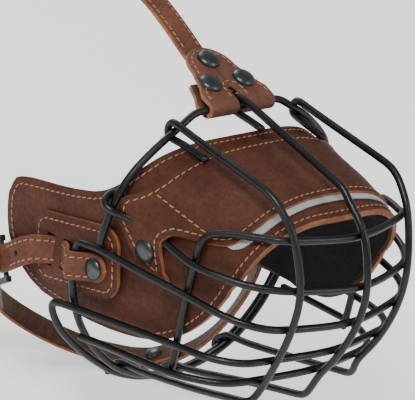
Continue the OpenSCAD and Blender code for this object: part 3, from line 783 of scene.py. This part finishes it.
# The strap's end lies over the patch and the side wire, goes in by the front slot and
# comes out of the rear one, then bends down to the buckle
over_patch, over_wire, under_patch = -75.6, -82.8, -72.6
tab_route = [(over_patch, -4, -10.9), (over_patch, 3, -11.5), (over_patch - 1.6, 7, -12),
             (over_wire, 12, -12.6), (over_wire, 15.5, -13), (over_patch - 2.4, 20.5, -13.7),
             (under_patch - 2.1, 25.4, -14.5), (under_patch, 29.8, -15.3), (under_patch, 33.2, -15.8),
             (under_patch - 2.1, 37.4, -16.6), (-77.0, 41, -17.5)]
tab_wide = [(0, -0.15, -1)] * len(tab_route)
near_route = [(-79.0, 45, -18.9), (-80.2, 49.5, -21.8), (-79.8, 54.5, -25.5), (-78.4, 60, -29.7),
              (-78.4, 64, -32.6), (-79.0, 66.5, -34.3)]
near_wide = [(-0.03, -0.3, -0.95), (-0.08, -0.45, -0.88)] + [(-0.1, -0.5, -0.85)] * 4

near_strap, near_seam = leather_strap("near_cheek_strap", tab_route + near_route, tab_wide + near_wide,
                                      strap_w, thickness=tab_t, round_ends=(7, 0), bare=(4, 8))
spare_hole_r = 1.5 * MM
spare_hole_at = Vector((-80.0, 53.4, -24.7)) * MM
spare_hole_axis = Vector((-0.96, 0.02, -0.02))
hole_mesh = bpy.data.meshes.new("strap_hole")
shape = bmesh.new()
bmesh.ops.create_cone(shape, cap_ends=True, segments=24, radius1=spare_hole_r, radius2=spare_hole_r,
                      depth=14 * MM)
shape.to_mesh(hole_mesh)
shape.free()
hole = bpy.data.objects.new("strap_hole", hole_mesh)
hole.rotation_mode = "QUATERNION"
hole.location = spare_hole_at
hole.rotation_quaternion = spare_hole_axis.to_track_quat("Z", "Y")
bpy.context.scene.collection.objects.link(hole)
cut_out(near_strap, [hole])
near_strap.modifiers.new("shade", "NODES").node_group = smooth_edged
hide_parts("right_strap_tab", "buckle_strap")
for piece in (near_strap, near_seam):
    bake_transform(piece)

# The long strap: from the buckle round the nape, then lapped under the far cheek's strap
neck_points = [(-68.8, 85, -48), (-65.5, 91, -54), (-58, 99, -63.5), (-46, 106.5, -75), (-34, 111, -84.5),
               (-22, 111, -94), (-10, 105.5, -102), (2, 95.5, -108), (14, 83, -111.5), (26, 69.5, -112),
               (32, 63, -110.9), (37, 57.5, -108.5), (47, 48.5, -101.5), (56, 42, -91.5), (64, 38, -79.5),
               (70.5, 35.5, -66), (74.5, 35, -52), (77.6, 37.5, -37), (79, 42, -26)]
neck_wide = [(-0.1, -0.5, -0.85), (-0.1, -0.52, -0.85), (-0.15, -0.58, -0.8), (-0.25, -0.65, -0.7),
             (-0.33, -0.68, -0.62), (-0.42, -0.67, -0.55), (-0.5, -0.66, -0.48), (-0.57, -0.64, -0.42),
             (-0.62, -0.62, -0.36), (-0.66, -0.6, -0.3), (-0.68, -0.6, -0.25), (-0.7, -0.6, -0.2),
             (-0.72, -0.62, -0.1), (-0.74, -0.65, 0.0), (-0.72, -0.7, 0.1), (-0.66, -0.76, 0.15),
             (-0.5, -0.85, 0.15), (-0.25, -0.95, 0.15), (-0.05, -0.95, 0.25)]
lap_first, lap_last = 10, 12
heel = Vector((-76, 66.5, -34.5))
buckle_along = Vector((0.18, 0.80, -0.57)).normalized()
buckle_across = Vector((-0.1, -0.5, -0.85))
buckle_across = (buckle_across - buckle_across.dot(buckle_along) * buckle_along).normalized()
buckle_out = buckle_along.cross(buckle_across)


def from_buckle(x, y, z):
    return heel + x * buckle_along + y * buckle_across + z * buckle_out


tip_steps = ((-3.6, 0, 5.4), (1, 0, 5), (5, 0, 3.4), (9.6, 0, 0), (13.8, 0, -2.7), (17, 0, -3.4))
tip = [from_buckle(*q) for q in tip_steps]
long_strap, long_seam = leather_strap(
    "long_neck_strap", tip + neck_points[:lap_last + 1],
    [buckle_across] * len(tip) + neck_wide[:lap_last + 1], strap_w, round_ends=(6, 6))
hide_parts("neck_strap")
for piece in (long_strap, long_seam):
    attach(piece, "neck_harness")

lap_lift = strap_t + 0.1
far_lower = []
for k in range(lap_first, len(neck_points)):
    before, after = Vector(neck_points[k - 1]), Vector(neck_points[min(k + 1, len(neck_points) - 1)])
    along = (after - before).normalized()
    across = Vector(neck_wide[k])
    across = (across - across.dot(along) * along).normalized()
    far_lower.append(Vector(neck_points[k]) + lap_lift * along.cross(across))
far_upper = [(81.0, 45.5, -19.8)]
far_cheek = list(reversed(mirrored(tab_route)))
far_strap, far_seam = leather_strap(
    "far_cheek_strap", far_lower + far_upper + far_cheek,
    neck_wide[lap_first:] + [(0, -0.6, -0.75)] + [(0, -0.15, -1)] * len(far_cheek), strap_w,
    thickness=tab_t, round_ends=(2, 7), bare=(1, 4))
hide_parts("left_strap_tab", "far_strap")
for piece in (far_strap, far_seam):
    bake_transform(piece)

# The head strap runs from the fork tab over the crown to the nape, and bends at the crown
head_points = [(0, 8, 68.4), (0, 18, 72.1), (0, 33, 77.5), (0, 50, 86.5), (0, 66, 94), (0, 82, 99),
               (0, 101, 103.5), (-1, 122, 107), (-2, 145, 109), (-5, 168, 105), (-9, 186, 91),
               (-14, 197, 69), (-19, 200, 42), (-24, 195, 14), (-30, 181, -11), (-37, 163, -31),
               (-42, 144, -48), (-45, 127, -59), (-45.8, 112.9, -65.6)]
head_wide = [(1, 0, 0)] * 11 + [
    (1, 0.02, -0.02), (1, 0.05, -0.08), (1, 0.08, -0.16), (0.96, 0.1, -0.27), (0.92, 0.14, -0.37),
    (0.87, 0.2, -0.44), (0.81, 0.27, -0.52), (0.77, 0.3, -0.56)]
head_strap, head_seam = leather_strap("head_strap", head_points, turned(head_wide), head_w, bare=(32, 2))
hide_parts("head_strap_front", "head_strap_rear")
for piece in (head_strap, head_seam):
    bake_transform(piece)

# ---- Fork tab and nape loop ----
# A forked tab folded round the rear hoop, two plies thick, with raw tan edges. The loop
# on the head strap's end is a short band of strap leather.
def edged_leather(name, face_normal, folded_below):
    """Strap leather that shows its raw tan core on its cut edges.

    Those are the faces square to face_normal and, below the height where the leather is
    folded, the faces that look sideways.
    """
    material, edged, face = new_material(name)
    where_at = add(edged, "ShaderNodeTexCoord")
    brown, tan = edged.nodes.new("ShaderNodeGroup"), edged.nodes.new("ShaderNodeGroup")
    for group, base, deep in ((brown, (0.135, 0.043, 0.021), (0.082, 0.025, 0.012)),
                              (tan, (0.34, 0.135, 0.058), (0.20, 0.075, 0.032))):
        group.node_tree = oiled_leather
        group.inputs["Base"].default_value, group.inputs["Deep"].default_value = (*base, 1), (*deep, 1)
        group.inputs["Grain"].default_value = 950.0
    facing = add(edged, "ShaderNodeVectorMath", operation="DOT_PRODUCT")
    facing.inputs[1].default_value = face_normal
    edged.links.new(where_at.outputs["Normal"], facing.inputs[0])
    flat = add(edged, "ShaderNodeMath", operation="ABSOLUTE")
    edged.links.new(facing.outputs["Value"], flat.inputs[0])
    split = add(edged, "ShaderNodeSeparateXYZ")
    edged.links.new(where_at.outputs["Normal"], split.inputs[0])
    sideways = add(edged, "ShaderNodeMath", operation="ABSOLUTE")
    edged.links.new(split.outputs["X"], sideways.inputs[0])
    height = add(edged, "ShaderNodeSeparateXYZ")
    edged.links.new(where_at.outputs["Object"], height.inputs[0])
    folded = add(edged, "ShaderNodeMath", operation="LESS_THAN")
    folded.inputs[1].default_value = folded_below
    edged.links.new(height.outputs["Z"], folded.inputs[0])
    along_face = add(edged, "ShaderNodeMath", operation="SUBTRACT")
    along_face.inputs[0].default_value = 1.0
    edged.links.new(flat.outputs["Value"], along_face.inputs[1])
    chosen = add(edged, "ShaderNodeMix", data_type="FLOAT")
    edged.links.new(folded.outputs["Value"], chosen.inputs["Factor"])
    edged.links.new(along_face.outputs["Value"], chosen.inputs["A"])
    edged.links.new(sideways.outputs["Value"], chosen.inputs["B"])
    mask = ramp(edged, chosen.outputs["Result"], [(0.42, 0.0), (0.55, 1.0)])
    colour = add(edged, "ShaderNodeMix", data_type="RGBA")
    edged.links.new(mask, colour.inputs["Factor"])
    edged.links.new(brown.outputs["Colour"], colour.inputs["A"])
    edged.links.new(tan.outputs["Colour"], colour.inputs["B"])
    edged.links.new(colour.outputs["Result"], face.inputs["Base Color"])
    edged.links.new(brown.outputs["Roughness"], face.inputs["Roughness"])
    bumped(edged, face, brown.outputs["Height"], 0.16 * MM)
    return material


tab_lean = math.radians(20)
hoop_top_z = 65.5
tab_normal = (0, -math.sin(tab_lean), math.cos(tab_lean))
fork_leather = edged_leather("fork_leather", tab_normal, 0.0685)
finish_part("fork_tab", fork_leather, smooth_edged, bevel=0.5)
loop_leather = edged_leather("loop_leather", (-0.655, 0.656, -0.374), -1.0)
finish_part("nape_loop", loop_leather, smooth_edged, bevel=0.5)

ply_t, eye_r = 2.4, 2.06


def on_tab(x, s, lift=0.0):
    """A point on the fork tab's front face: across it, up it and off it."""
    n = eye_r + ply_t + lift
    return Vector((x, s * math.cos(tab_lean) - n * math.sin(tab_lean),
                   hoop_top_z + s * math.sin(tab_lean) + n * math.cos(tab_lean))) * MM


def seam_arc(radius, middle, first, last, step):
    """Places round an arc of stitches over the top of a point on the tab's middle line."""
    return [(-radius * math.cos(math.radians(a)), middle + radius * math.sin(math.radians(a)))
            for a in range(first, last + 1, step)]


tab_corners = [(-19.4, 1.5), (-19.4, 5.2), (-15.9, 11.5), (-12.4, 22.5)]
tab_line = tab_corners + seam_arc(11.9, 23.5, 0, 180, 12) + [(-x, s) for x, s in reversed(tab_corners)]
slit_line = [(-5.6, 1.5), (-5.6, 7)] + seam_arc(5.6, 7, 20, 160, 20) + [(5.6, 7), (5.6, 1.5)]
face_up = Vector(tab_normal)
tab_rows = [[(on_tab(x, s), face_up) for x, s in line] for line in (tab_line, slit_line)]
tab_seam = stitch_mesh("fork_tab_seam", tab_rows)
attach(tab_seam, "fork")

# ---- Rivets and buckle ----
# Domed two-part caps and a wire buckle, all steel with a satin black oxide finish that
# has rubbed a little brighter on the domes.
gunmetal, tree, shader = new_material("gunmetal")
shader.inputs["Metallic"].default_value = 0.85
where = add(tree, "ShaderNodeTexCoord")
worn = add(tree, "ShaderNodeTexNoise", Scale=260.0, Detail=5.0, Roughness=0.7)
tree.links.new(where.outputs["Object"], worn.inputs["Vector"])
steel_tones = [(0.3, (0.035, 0.040, 0.045)), (0.7, (0.085, 0.093, 0.100))]
steel_gloss = [(0.3, 0.42), (0.7, 0.28)]
tree.links.new(ramp(tree, worn.outputs["Fac"], steel_tones), shader.inputs["Base Color"])
tree.links.new(ramp(tree, worn.outputs["Fac"], steel_gloss), shader.inputs["Roughness"])
bumped(tree, shader, worn.outputs["Fac"], 0.03 * MM)
for rivet_name in ("overlay_rivets", "tab_rivets", "fork_rivets", "loop_rivet", "lap_rivet"):
    finish_part(rivet_name, gunmetal, smooth_edged, bevel=0.15)
finish_part("buckle_frame", gunmetal, smooth_edged, bevel=0.9)
finish_part("buckle_prong", gunmetal, smooth_edged, bevel=0.2)
